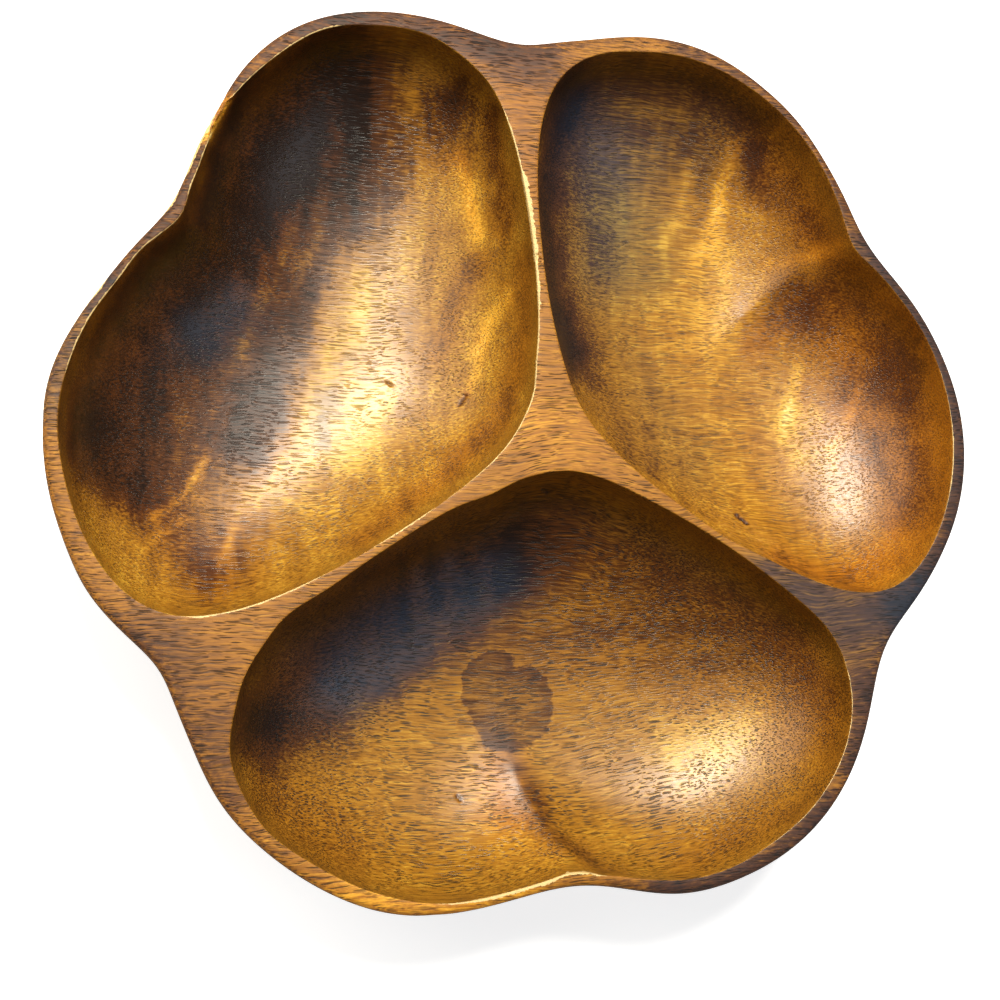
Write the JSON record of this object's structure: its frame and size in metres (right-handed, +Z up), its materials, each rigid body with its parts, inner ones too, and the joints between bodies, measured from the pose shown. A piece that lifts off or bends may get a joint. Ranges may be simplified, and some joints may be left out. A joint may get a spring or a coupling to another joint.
{
  "type": "divided serving dish",
  "caption": "Hand-carved wooden serving dish with lobed compartments that meet in thin Y-shaped ribs.",
  "frame": {"origin": "middle of the flat foot, on the surface that the dish stands on", "axes": "+Z up out of the hollows, +Y to the back along the rib between the left and right compartments, +X to the right; the front compartment opens towards -Y"},
  "size_m": [0.1758, 0.1643, 0.032],
  "materials": {
    "carved_wood": "satin oil finish on figured golden to dark brown wood with short dark pores, worn pale along the edges"
  },
  "bodies": {
    "root": {"carved_dish": "carved_wood"}
  },
  "joints": []
}
